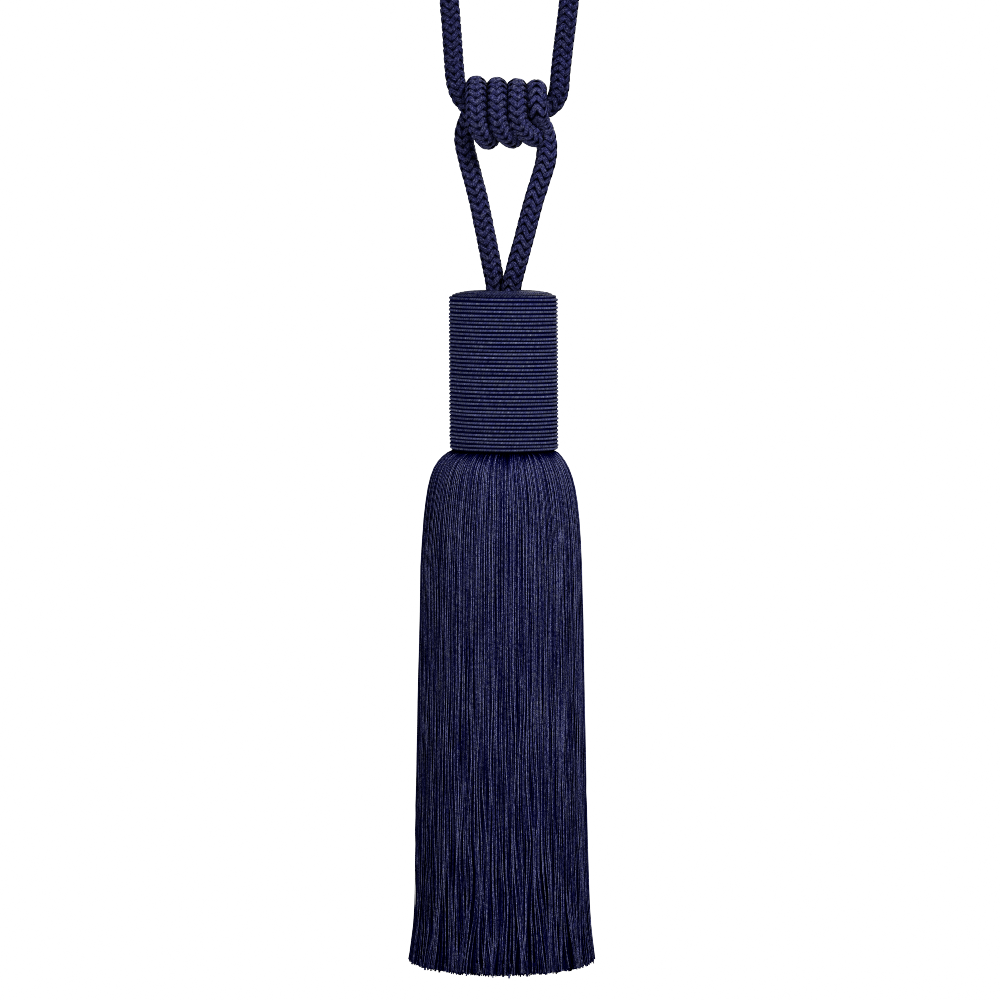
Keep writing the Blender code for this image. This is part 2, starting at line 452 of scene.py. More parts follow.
@dataclass
class NodeBoard:
    """Places nodes in one tree and joins their sockets."""

    tree: Tree

    def place(self, kind: str, inputs: Inputs | None = None, **settings: object) -> bpy.types.Node:
        """Adds a node.

        Args:
            kind: the node's type.
            inputs: what its inputs are joined or set to.
            settings: its own properties by name.

        Returns:
            The new node.
        """
        node = self.tree.nodes.new(kind)
        for name, value in settings.items():
            setattr(node, name, value)
        self.feed(node, inputs or {})
        return node

    def feed(self, node: bpy.types.Node, inputs: Inputs) -> None:
        """Joins a node's inputs to other sockets, or sets them to plain values.

        Args:
            node: the node that is fed.
            inputs: a socket or a plain value for each input, by its name or number.
        """
        for name, value in inputs.items():
            if isinstance(value, Socket):
                self.tree.links.new(value, node.inputs[name])
            else:
                node.inputs[name].default_value = value

    def calculate(self, operation: str, *terms: Socket | float, clamp: bool = False) -> Socket:
        """Adds a Math node and returns its result, which a clamp holds between 0 and 1."""
        terms = dict(enumerate(terms))
        return self.place("ShaderNodeMath", terms, operation=operation, use_clamp=clamp).outputs[0]

    def swing(self, value: Socket, share: Socket) -> Socket:
        """Turns a value of 0 to 1 into a swing about 0 of this share."""
        return self.calculate("MULTIPLY", self.calculate("SUBTRACT", value, 0.5), share)

    def vector(self, *parts: Socket | float) -> Socket:
        """Combines three values into a vector."""
        return self.place("ShaderNodeCombineXYZ", dict(enumerate(parts))).outputs[0]

    def vector_math(self, operation: str, inputs: Inputs) -> Socket:
        """Adds a Vector Math node and returns its vector."""
        return self.place("ShaderNodeVectorMath", inputs, operation=operation).outputs[0]

    def noise(self, where: Socket, detail: float) -> Socket:
        """Adds a noise texture and returns its value, spread over the whole of 0 to 1."""
        node = self.place("ShaderNodeTexNoise", {"Vector": where, "Scale": 1.0, "Detail": detail})
        return self.calculate("MULTIPLY_ADD", node.outputs[0], NOISE_GAIN, NOISE_SHIFT, clamp=True)

    def ranged(self, value: Socket, limits: Inputs) -> Socket:
        """Maps a value between limits, which are 0 to 1 where none are given."""
        return self.place("ShaderNodeMapRange", {"Value": value, **limits}).outputs[0]

    def ramp(self, value: Socket, stops: tuple[tuple[float, Place], ...]) -> Socket:
        """Adds a colour ramp.

        Args:
            value: where to read the ramp, from 0 to 1.
            stops: three or more stops, each a place on the ramp and its colour.

        Returns:
            The socket of the colour.
        """
        node = self.place("ShaderNodeValToRGB", {0: value})
        elements = node.color_ramp.elements
        for _ in stops[2:]:
            elements.new(0.5)
        for element, (place, colour) in zip(elements, stops):
            element.position = place
            element.color = (*colour, 1.0)
        return node.outputs[0]

    def strand_map(self, name: str) -> tuple[Socket, Socket]:
        """Reads the two values of a strand map."""
        place = self.place("ShaderNodeUVMap", uv_map=name).outputs[0]
        return tuple(self.place("ShaderNodeSeparateXYZ", {0: place}).outputs)[:2]

    def group_inputs(self, names: Iterable[str]) -> dict[str, Socket]:
        """Gives a group its number inputs.

        Args:
            names: the inputs' names.

        Returns:
            The inputs' sockets inside the group, by name.
        """
        for name in names:
            self.tree.interface.new_socket(name=name, in_out="INPUT", socket_type="NodeSocketFloat")
        return dict(self.place("NodeGroupInput").outputs.items())

    def group_outputs(self, results: dict[str, Socket]) -> Tree:
        """Gives a group its number outputs.

        Args:
            results: what each output puts out, by name.

        Returns:
            The finished group.
        """
        for name in results:
            self.tree.interface.new_socket(name=name, in_out="OUTPUT", socket_type="NodeSocketFloat")
        self.place("NodeGroupOutput", results)
        return self.tree


# The inputs of the groups, and the fields of a finish that they are set from
TWIST_INPUTS = {
    "Plies": "plies",
    "Turns per mm": "turns_per_mm",
    "Filament Share": "filament_share",
    "Filament Fineness": "filament_fineness",
    "Filament Breaks per mm": "filament_breaks",
}
TONE_INPUTS = {
    "Strand Share": "strand_share",
    "Patch Length mm": "patch_length",
    "Patch Share": "patch_share",
    "Dye Length mm": "dye_length",
    "Dye Share": "dye_share",
}


@dataclass
class FibreEffects:
    """The effects that all the yarn finishes share, each one a node group."""

    # How far apart neighbouring strands read each pattern, so that none repeats
    turn_step: float = 0.618
    filament_step: float = 17.3
    patch_step: float = 9.7
    dye_step: float = 5.3
    dye_start: float = 8.5
    ply_fullness: float = 0.7
    groove_narrowness: float = 1.5
    # How fast painted shade turns low tones black
    shade_veil_gain: float = 2.8
    twist: Tree = field(init=False)
    tone: Tree = field(init=False)

    def __post_init__(self) -> None:
        """Builds the groups once."""
        self.twist = self.fibre_twist()
        self.tone = self.yarn_tone()

    def fibre_twist(self) -> Tree:
        """Builds the lines that plies and filaments draw along a strand.

        Returns:
            The group. Height is the relief, Groove marks the grooves between plies, where the finishes
            paint shade, and Painted Top Light is 1 along the strand's outer side and falls to 0 where it
            lies on its neighbours, to paint shade on its sides.
        """
        board = NodeBoard(bpy.data.node_groups.new("fibre_twist", "ShaderNodeTree"))
        reckon = board.calculate
        given = board.group_inputs(TWIST_INPUTS)
        around, along = board.strand_map(FIBRE_MAP)
        _, number = board.strand_map(STRAND_MAP)
        facing = reckon("COSINE", reckon("MULTIPLY", around, TURN))
        spun = reckon("MULTIPLY", along, given["Turns per mm"])
        angle = reckon("ADD", reckon("MULTIPLY_ADD", number, self.turn_step, around), spun)
        phase = reckon("MULTIPLY", angle, given["Plies"])
        wave = reckon("COSINE", reckon("MULTIPLY", phase, math.pi))
        ply = reckon("POWER", reckon("ABSOLUTE", wave), self.ply_fullness)
        turned = reckon("MULTIPLY", angle, TURN)
        fine = given["Filament Fineness"]
        broken = reckon("MULTIPLY", along, given["Filament Breaks per mm"])
        where = board.vector(
            reckon("MULTIPLY", reckon("COSINE", turned), fine),
            reckon("MULTIPLY", reckon("SINE", turned), fine),
            reckon("ADD", broken, reckon("MULTIPLY", number, self.filament_step)),
        )
        share = given["Filament Share"]
        plies = reckon("MULTIPLY", ply, reckon("SUBTRACT", 1.0, share))
        height = reckon("ADD", plies, reckon("MULTIPLY", board.noise(where, 2.0), share))
        full = reckon("POWER", height, self.groove_narrowness)
        return board.group_outputs(
            {
                "Height": height,
                "Groove": reckon("SUBTRACT", 1.0, full, clamp=True),
                # Painted shade on the strand's sides, read from the way round it
                "Painted Top Light": reckon("MULTIPLY_ADD", facing, -0.5, 0.5, clamp=True),
            }
        )

    def yarn_tone(self) -> Tree:
        """Builds the uneven tone of dyed yarn, from strand to strand and along each strand, with the
        painted shade that the strand map carries.

        Returns:
            The group. Tone is 0 for the darkest fibre and 1 for the lightest, Patch is the
            unevenness by itself, Shade Veil falls to 0 where the strand's tone is low, to paint deep
            shade black, and Warmth swings about 1 where the dye took a little redder or bluer.
        """
        board = NodeBoard(bpy.data.node_groups.new("yarn_tone", "ShaderNodeTree"))
        reckon = board.calculate
        given = board.group_inputs(TONE_INPUTS)
        _, along = board.strand_map(FIBRE_MAP)
        tone, number = board.strand_map(STRAND_MAP)
        patches = reckon("DIVIDE", along, given["Patch Length mm"])
        where = board.vector(reckon("MULTIPLY", number, self.patch_step), patches, 0.0)
        patch = board.noise(where, 3.0)
        dyes = reckon("DIVIDE", along, given["Dye Length mm"])
        where = board.vector(reckon("MULTIPLY", number, self.dye_step), dyes, self.dye_start)
        dye = board.noise(where, 1.0)
        strand_part = board.swing(tone, given["Strand Share"])
        total = reckon("ADD", strand_part, board.swing(patch, given["Patch Share"]))
        return board.group_outputs(
            {
                "Tone": reckon("ADD", total, 0.5, clamp=True),
                "Patch": patch,
                # Painted shade: low tones veil the colour towards black
                "Shade Veil": reckon("MULTIPLY", tone, self.shade_veil_gain, clamp=True),
                "Warmth": reckon("ADD", board.swing(dye, given["Dye Share"]), 1.0),
            }
        )


@dataclass(frozen=True)
class YarnFinish:
    """A dyed yarn: its dark, middle and light tones, the lines of its plies, and the shade painted into its
    grooves and onto its sides.
    """

    slot: Slot
    name: str
    dark: Place
    middle: Place
    light: Place
    middle_at: float = 0.4
    roughness: float = 0.6
    groove_roughness: float = 0.3
    specular: float = 0.05
    plies: float = 2.0
    turns_per_mm: float = 0.3
    filament_share: float = 0.3
    filament_fineness: float = 3.0
    filament_breaks: float = 0.35
    relief: float = 0.10 * MM
    # How much painted shade darkens the grooves between plies
    groove_shade: float = 0.5
    strand_share: float = 0.5
    patch_length: float = 6.0
    patch_share: float = 0.3
    dye_length: float = 1.5
    dye_share: float = 0.45
    cooling: float = 0.3
    # Painted shade on a strand's sides: where it begins round from the top, how far patches move that, and
    # how fast it deepens
    side_shade_start: float = 0.6
    side_shade_wander: float = 0.0
    side_shade_fall: float = 0.8

    def effect(self, board: NodeBoard, group: Tree, inputs: dict[str, str]) -> dict[str, Socket]:
        """Places a shared group with this finish's own values.

        Args:
            board: the material's board.
            group: the group.
            inputs: the finish's field for each of the group's inputs.

        Returns:
            The group's outputs by name.
        """
        values = {socket: getattr(self, kept) for socket, kept in inputs.items()}
        return dict(board.place("ShaderNodeGroup", values, node_tree=group).outputs.items())

    def material(self, effects: FibreEffects) -> bpy.types.Material:
        """Makes the material.

        Args:
            effects: the shared node groups.

        Returns:
            The material, ready to wear.
        """
        made = bpy.data.materials.new(self.name)
        made.use_nodes = True
        board = NodeBoard(made.node_tree)
        reckon = board.calculate
        twist = self.effect(board, effects.twist, TWIST_INPUTS)
        tone = self.effect(board, effects.tone, TONE_INPUTS)
        # Painted shade: the grooves between plies are darkened, and so are the strand's sides past their
        # top, from a start that the patch noise moves
        sunk = reckon("MULTIPLY", twist["Groove"], self.groove_shade)
        bright = reckon("SUBTRACT", tone["Tone"], sunk, clamp=True)
        early, late = self.side_shade_start - self.side_shade_wander, self.side_shade_start + self.side_shade_wander
        edge = board.ranged(tone["Patch"], {"To Min": early, "To Max": late})
        top_light = reckon("POWER", board.ranged(twist["Painted Top Light"], {"From Min": edge}), self.side_shade_fall)
        # The ramp runs down to its dark end as the painted shade deepens
        stops = ((0.0, self.dark), (self.middle_at, self.middle), (1.0, self.light))
        colour = board.ramp(reckon("MULTIPLY", bright, top_light), stops)
        # Painted shade: low strand tones are scaled towards black
        veiled_colour = board.vector_math("SCALE", {0: colour, "Scale": tone["Shade Veil"]})
        warmth = tone["Warmth"]
        cool = reckon("MULTIPLY_ADD", warmth, -self.cooling, 1 + self.cooling)
        dye = board.vector(warmth, warmth, cool)
        rough = {"To Min": self.roughness, "To Max": min(1.0, self.roughness + self.groove_roughness)}
        relief = {"Strength": 1.0, "Distance": self.relief, "Height": twist["Height"]}
        worn = {
            "Base Color": board.vector_math("MULTIPLY", {0: veiled_colour, 1: dye}),
            "Roughness": board.ranged(twist["Groove"], rough),
            "Normal": board.place("ShaderNodeBump", relief).outputs["Normal"],
            "Specular IOR Level": self.specular,
        }
        board.feed(made.node_tree.nodes["Principled BSDF"], worn)
        return made


@dataclass
class Wardrobe:
    """The materials of the tassel, made once."""

    effects: FibreEffects = field(default_factory=FibreEffects)
    made: dict[str, bpy.types.Material] = field(default_factory=dict)

    def make(self, strands: StrandMesh, finish: YarnFinish, *nodes: str) -> bpy.types.Object:
        """Makes a piece in its finish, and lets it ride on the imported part.

        Args:
            strands: the strands of the piece.
            finish: what it is made of.
            nodes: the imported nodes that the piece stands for.

        Returns:
            The piece.
        """
        piece = strands.build()
        if finish.name not in self.made:
            self.made[finish.name] = finish.material(self.effects)
        piece.data.materials.append(self.made[finish.name])
        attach(piece, "root")
        if nodes:
            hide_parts(*nodes)
        log.info("%s: %d faces, %s", piece.name, len(piece.data.polygons), finish.name)
        return piece


ROPE_FINISH = YarnFinish(
    slot=Slot.ROPE,
    name="rope_yarn",
    dark=(0.0002, 0.0002, 0.010),
    middle=(0.017, 0.018, 0.069),
    light=(0.105, 0.107, 0.250),
    plies=6.0,
    turns_per_mm=0.03,
    filament_share=0.9,
    filament_fineness=2.2,
    filament_breaks=1.2,
    relief=0.20 * MM,
    groove_shade=0.85,
    strand_share=1.0,
    patch_length=0.8,
    patch_share=0.4,
    side_shade_start=0.80,
    side_shade_wander=0.05,
    side_shade_fall=0.4,
)
WOUND_FINISH = YarnFinish(
    slot=Slot.WOUND_CORD,
    name="wound_cord_yarn",
    dark=(0.0004, 0.0006, 0.026),
    middle=(0.060, 0.068, 0.155),
    light=(0.44, 0.475, 0.80),
    turns_per_mm=0.42,
    filament_share=0.45,
    relief=0.06 * MM,
    groove_shade=0.38,
    strand_share=1.0,
    patch_length=1.6,
    patch_share=0.36,
    side_shade_start=0.83,
    side_shade_fall=0.45,
)
SKIRT_FINISH = YarnFinish(
    slot=Slot.CUT_YARN,
    name="skirt_yarn",
    dark=(0.0003, 0.0004, 0.030),
    middle=(0.027, 0.029, 0.102),
    light=(0.300, 0.314, 0.580),
    specular=0.0,
    turns_per_mm=0.50,
    filament_share=0.75,
    filament_fineness=1.2,
    filament_breaks=1.3,
    relief=0.07 * MM,
    groove_shade=0.7,
    strand_share=1.2,
    patch_length=1.4,
    patch_share=0.55,
    side_shade_start=0.55,
    side_shade_fall=0.6,
)
# The yarn and covers that lie behind the others, coloured almost black as painted shade
ROPE_CORE_SHADE_FINISH = YarnFinish(
    slot=Slot.ROPE,
    name="rope_core_painted_shade",
    dark=(0.0002, 0.0002, 0.006),
    middle=(0.0006, 0.0008, 0.012),
    light=(0.0015, 0.0018, 0.028),
    roughness=0.8,
    specular=0.0,
    side_shade_start=-0.5,
)
MOULD_SHADE_FINISH = replace(
    ROPE_CORE_SHADE_FINISH,
    slot=Slot.WOUND_CORD,
    name="mould_painted_shade",
    dark=(0.0003, 0.0004, 0.020),
    middle=(0.0006, 0.0008, 0.026),
    light=(0.0015, 0.0018, 0.040),
    plies=60.0,
    turns_per_mm=0.0,
)
SKIRT_FILL_SHADE_FINISH = replace(
    MOULD_SHADE_FINISH,
    slot=Slot.CUT_YARN,
    name="skirt_inner_painted_shade",
    dark=(0.0003, 0.0004, 0.016),
    middle=(0.0006, 0.0008, 0.024),
    light=(0.0015, 0.0018, 0.036),
    plies=420.0,
)


# === Braided cords ===

NOWHERE: Row = (2.0, 2.0, 3.0, 3.0)


@dataclass
class BraidedCord:
    """A round braid whose strands each pass over two and under two of those that cross them."""

    name: str = ""
    nodes: tuple[str, ...] = ()
    seed: int = 1
    stations: int = 40
    # By the share of the way along the cord: millimetres per stitch, turns of the pattern, fullness
    stitches: Table = ()
    spin: Table = ()
    girth: Table = ((0.0, 1.0), (1.0, 1.0))
    # Where the cord is coiled, and where painted shade darkens its left and right flanks that press on
    # their neighbours
    coiled: Row = NOWHERE
    press_shade_left: Row = NOWHERE
    press_shade_right: Row = NOWHERE
    coil_axis: Place = (1.0, 0.0, 0.0)
    coil_widening: float = 0.05
    # Painted shade: how dark flanks turn where they press, how narrowly, the tone of straight runs against
    # the coil, and how far a strand dives before it is wholly dark
    press_shade: float = 2.6
    press_narrowness: int = 14
    straight_run_shade: float = 0.92
    crossing_shade_lift: float = 0.65
    diameter: float = 8.2 * MM
    carriers: int = 16
    fullness: float = 1.09
    strand_half_width: float = 1.34 * MM
    strand_half_height: float = 0.38 * MM
    strand_squareness: float = 0.72
    weave_depth: float = 0.40 * MM
    crest: float = 0.22
    narrowing: float = 0.16
    flattening: float = 0.14
    unevenness: float = 0.06
    rings_per_float: int = 10
    sides: int = 8
    core_inset: float = 1.75 * MM
    core_sides: int = 12
    core_step: float = 3.0 * MM
    route: Route = field(init=False)

    def __post_init__(self) -> None:
        """Lays the cord's route."""
        self.route = Route(self.places())

    def places(self) -> tuple[Place, ...]:
        """Lists the places that the cord runs through, in millimetres."""
        raise NotImplementedError

    def woven_phase(self) -> Array:
        """Counts how often one strand goes round the cord.

        Returns:
            The turns up to each point of the route.
        """
        share = self.route.along / self.route.length
        per_metre = 1 / (table_value(share, self.stitches) * MM * self.carriers / 2)
        steps = np.diff(self.route.along) * (per_metre[1:] + per_metre[:-1]) / 2
        return np.concatenate([[0.0], np.cumsum(steps)])

    def strand_rings(self) -> tuple[Array, Array]:
        """Winds every strand along the route.

        Returns:
            The rings of the strands, with those of one hand first, and each one's tone at each ring,
            which is painted shade: from 0 under the others to 1 over them, darker on straight runs
            and darkest on flanks that press on their neighbours.
        """
        rng = np.random.default_rng(self.seed)
        phase = self.woven_phase()
        each_way = self.carriers // 2
        columns = each_way // 2
        count = round(phase[-1] * columns * self.rings_per_float) + 1
        turns = np.linspace(0, phase[-1], count)
        distance = np.interp(turns, phase, self.route.along)
        share = distance / self.route.length
        middle, side, other = self.route.at(distance)
        girth = table_value(share, self.girth)
        hand = np.repeat([TwistHand.Z.value, TwistHand.S.value], each_way)[:, None]
        start = np.tile(np.arange(each_way) / each_way, 2)[:, None]
        angle = TURN * (start + hand * turns)
        wave = np.cos(columns * angle) * hand
        lift = wave * (1 + self.crest - self.crest * wave**2)
        plump = self.plumpness(rng, turns * columns)
        outside = self.diameter / 2 * self.fullness - self.strand_half_height - self.weave_depth
        radius = (outside + self.weave_depth * lift * (1 + plump) / 2) * girth
        turned = (angle + TURN * table_value(share, self.spin))[..., None]
        outward = np.cos(turned) * side + np.sin(turned) * other
        coiled = within(share, self.coiled)
        sideways = outward @ np.array(self.coil_axis)
        widening = self.coil_widening * coiled * radius * sideways
        centres = middle + outward * radius[..., None] + widening[..., None] * self.coil_axis
        width = self.strand_half_width * (1 - self.narrowing * (1 - lift) / 2) * plump * girth
        height = self.strand_half_height * (1 - self.flattening * (1 - lift)) * plump * girth
        rings = swept(centres, outward, width, height, self.sides, self.strand_squareness)
        # Painted shade: straight runs darker than the coil, strands darker as they dive under others,
        # flanks darker where they press on neighbours
        drawn = self.straight_run_shade + (1 - self.straight_run_shade) * coiled
        flank_shade_mask = within(share, self.press_shade_left) * np.clip(-sideways, 0, 1) ** self.press_narrowness
        flank_shade_mask += within(share, self.press_shade_right) * np.clip(sideways, 0, 1) ** self.press_narrowness
        shaded_tone = np.clip(1 + lift / self.crossing_shade_lift, 0, 1) * drawn
        return rings, shaded_tone - self.press_shade * flank_shade_mask

    def plumpness(self, rng: Rng, floats: Array) -> Array:
        """Makes some floats a little fuller than others.

        Args:
            rng: the source of random numbers.
            floats: how many floats each ring has behind it.

        Returns:
            A factor near 1 for each strand and ring.
        """
        marks = np.arange(math.ceil(floats[-1]) * 2 + 2) / 2
        drawn = rng.normal(1.0, self.unevenness, (self.carriers, len(marks)))
        return read_rows(floats, marks, drawn.T).T

    def core_rings(self) -> Array:
        """Runs the cord's core down the middle of the braid.

        Returns:
            The rings of the one strand that is the core.
        """
        distance = np.linspace(0, self.route.length, round(self.route.length / self.core_step) + 1)
        middle, side, _ = self.route.at(distance)
        girth = table_value(distance / self.route.length, self.girth)
        half = (self.diameter / 2 - self.core_inset) * girth
        return swept(middle[None], side[None], half[None], half[None], self.core_sides)

    def build(self, wardrobe: Wardrobe) -> None:
        """Makes the braid and its core.

        Args:
            wardrobe: the materials.
        """
        braid = wardrobe.make(
            StrandMesh(self.name, *self.strand_rings(), layout_rows=6), ROPE_FINISH, *self.nodes
        )
        inside = StrandMesh(f"{self.name}_core", self.core_rings(), layout_rows=4)
        # Painted shade: the core inside the braid is almost black
        core = wardrobe.make(inside, ROPE_CORE_SHADE_FINISH)
        self.route.stations(self.stations)
        log.info("%s: %.1f mm of cord", braid.name, self.route.length / MM)


@dataclass
class HangingRope(BraidedCord):
    """The rope that the tassel hangs by: a loop over the hook, with both ends inside the coil."""

    name: str = "hanging_rope"
    nodes: tuple[str, ...] = ("hanging_loop",)
    seed: int = 11
    stitches: Table = ((0.0, 3.6), (0.3, 3.65), (0.7, 3.56), (1.0, 3.5))
    spin: Table = ((0.0, -0.10), (0.4, -0.10), (0.6, -0.05), (1.0, -0.05))
    # Painted shade on the straight runs of the loop
    straight_run_shade: float = 0.83
    loop: tuple[Place, ...] = (
        (2.4, 0.0, -105.8), (9.6, 0.2, -105.8), (15.8, 0.9, -105.1), (20.6, 0.9, -103.2),
        (23.6, 0.6, -99.8), (24.9, 0.3, -95.2), (25.4, 0.1, -88.0), (27.2, 0.0, -72.7),
        (29.2, 0.0, -56.1), (30.2, 0.0, -40.7), (28.9, 0.0, -24.0), (23.4, 0.0, -9.6),
        (13.0, 0.0, 1.0), (0.0, 0.0, 4.1), (-13.2, 0.0, 1.0), (-22.4, 0.0, -9.6),
        (-26.0, 0.0, -24.0), (-25.6, 0.0, -40.7), (-23.9, 0.0, -56.1), (-22.6, 0.0, -72.7),
        (-21.6, 0.1, -87.0), (-20.8, 0.3, -93.4), (-18.6, 0.5, -98.9), (-14.8, 0.5, -103.0),
        (-9.6, 0.2, -105.3), (-4.0, 0.0, -105.8), (1.6, 0.0, -105.8),
    )

    def places(self) -> tuple[Place, ...]:
        """Lists the places of the loop."""
        return self.loop


@dataclass
class TasselCord(BraidedCord):
    """The tassel's own cord: up as the left leg, four turns round the rope, down as the right."""

    name: str = "tassel_cord"
    nodes: tuple[str, ...] = ("cord_knot", "cord_leg_left", "cord_leg_right")
    seed: int = 23
    stations: int = 100
    left_leg: tuple[Place, ...] = (
        (-3.2, 2.4, -191.5), (-3.3, 2.4, -183.3), (-4.6, 2.7, -176.1), (-7.6, 3.5, -161.0),
        (-11.0, 4.3, -144.5), (-14.0, 5.3, -133.0), (-16.2, 6.0, -124.4), (-17.3, 6.8, -119.0),
        (-17.3, 7.6, -114.9), (-16.3, 8.7, -111.2), (-14.8, 9.6, -107.6),
    )
    right_leg: tuple[Place, ...] = (
        (14.7, -7.6, -104.4), (15.1, -5.4, -106.8), (16.0, -2.4, -108.8), (17.4, 0.2, -111.6),
        (18.7, 1.5, -115.2), (19.4, 1.7, -119.4), (19.4, 1.2, -123.6), (18.6, 0.2, -128.6),
        (16.4, -1.2, -136.0), (13.7, -2.3, -144.5), (9.5, -3.4, -160.5), (5.3, -2.7, -176.1),
        (3.6, -2.4, -183.1), (3.4, -2.4, -191.5),
    )
    # Each turn: where it passes over the top and under the bottom, and its half height there
    turns: Table = ((-11.85, -6.6, 12.05), (-2.75, 4.2, 11.45), (6.1, 14.2, 10.95), (14.6, 14.6, 10.4))
    # How a turn slants in front on its way from top to bottom: part of a turn, share of the slant
    slant: Table = (
        (0.0, 0.0), (0.27, 0.0), (0.31, 0.06), (0.35, 0.24),
        (0.39, 0.50), (0.43, 0.76), (0.47, 0.94), (0.5, 1.0),
    )
    coil_z: float = -106.0
    depth_ratio: float = 0.85
    turn_steps: int = 16
    last_turn_steps: int = 3
    # The cord comes up behind the first turn in these steps, from this far aside of it
    rise_steps: int = 3
    rise_aside: float = 0.9
    stitches: Table = ((0.0, 3.74), (0.2, 3.74), (0.26, 2.7), (0.77, 2.7), (0.82, 4.03), (1, 4.03))
    spin: Table = (
        (0.0, 0.035), (0.20, 0.035), (0.30, -0.014), (0.46, -0.126),
        (0.62, -0.004), (0.775, -0.024), (0.82, 0.0), (1.0, -0.008),
    )
    girth: Table = ((0.0, 1.0), (0.20, 1.0), (0.25, 1.05), (0.78, 1.05), (0.795, 0.94), (0.82, 1.0), (1, 1))
    coiled: Row = (0.23, 0.26, 0.83, 0.86)
    # Where painted shade darkens the flanks that press on the neighbouring turns
    press_shade_left: Row = (0.40, 0.43, 0.78, 0.80)
    press_shade_right: Row = (0.23, 0.26, 0.74, 0.77)

    def on_coil(self, across: float, height: float, part: float) -> Place:
        """Finds a place of the coil.

        Args:
            across: how far to the right it is.
            height: half the coil's height there.
            part: how far round the turn, from its top down in front.

        Returns:
            The place in millimetres.
        """
        angle = TURN * part
        back = -height * self.depth_ratio * math.sin(angle)
        return across, back, self.coil_z + height * math.cos(angle)

    def coil_place(self, turn: int, part: float) -> Place:
        """Finds the middle of the cord in the coil.

        Args:
            turn: which turn, from 0.
            part: how far round it.

        Returns:
            The place in millimetres.
        """
        top, bottom, half = self.turns[turn]
        next_top, _, next_half = self.turns[min(turn + 1, len(self.turns) - 1)]
        if part <= 0.5:
            across = top + (bottom - top) * float(table_value(part, self.slant))
        else:
            across = bottom + (next_top - bottom) * float(rounded(part * 2 - 1))
        return self.on_coil(across, half + (next_half - half) * part, part)

    def places(self) -> tuple[Place, ...]:
        """Lists the whole cord's places.

        Returns:
            The places from the head up, round the coil and back, in millimetres.
        """
        top, _, half = self.turns[0]
        rise = [
            self.on_coil(top - self.rise_aside * left / self.rise_steps, half, 1 - left / self.turn_steps)
            for left in range(self.rise_steps, 0, -1)
        ]
        steps = [self.turn_steps] * (len(self.turns) - 1) + [self.last_turn_steps]
        coil = [
            self.coil_place(turn, step / self.turn_steps)
            for turn, count in enumerate(steps)
            for step in range(count)
        ]
        return (*self.left_leg, *rise, *coil, *self.right_leg)


# === The wound head ===


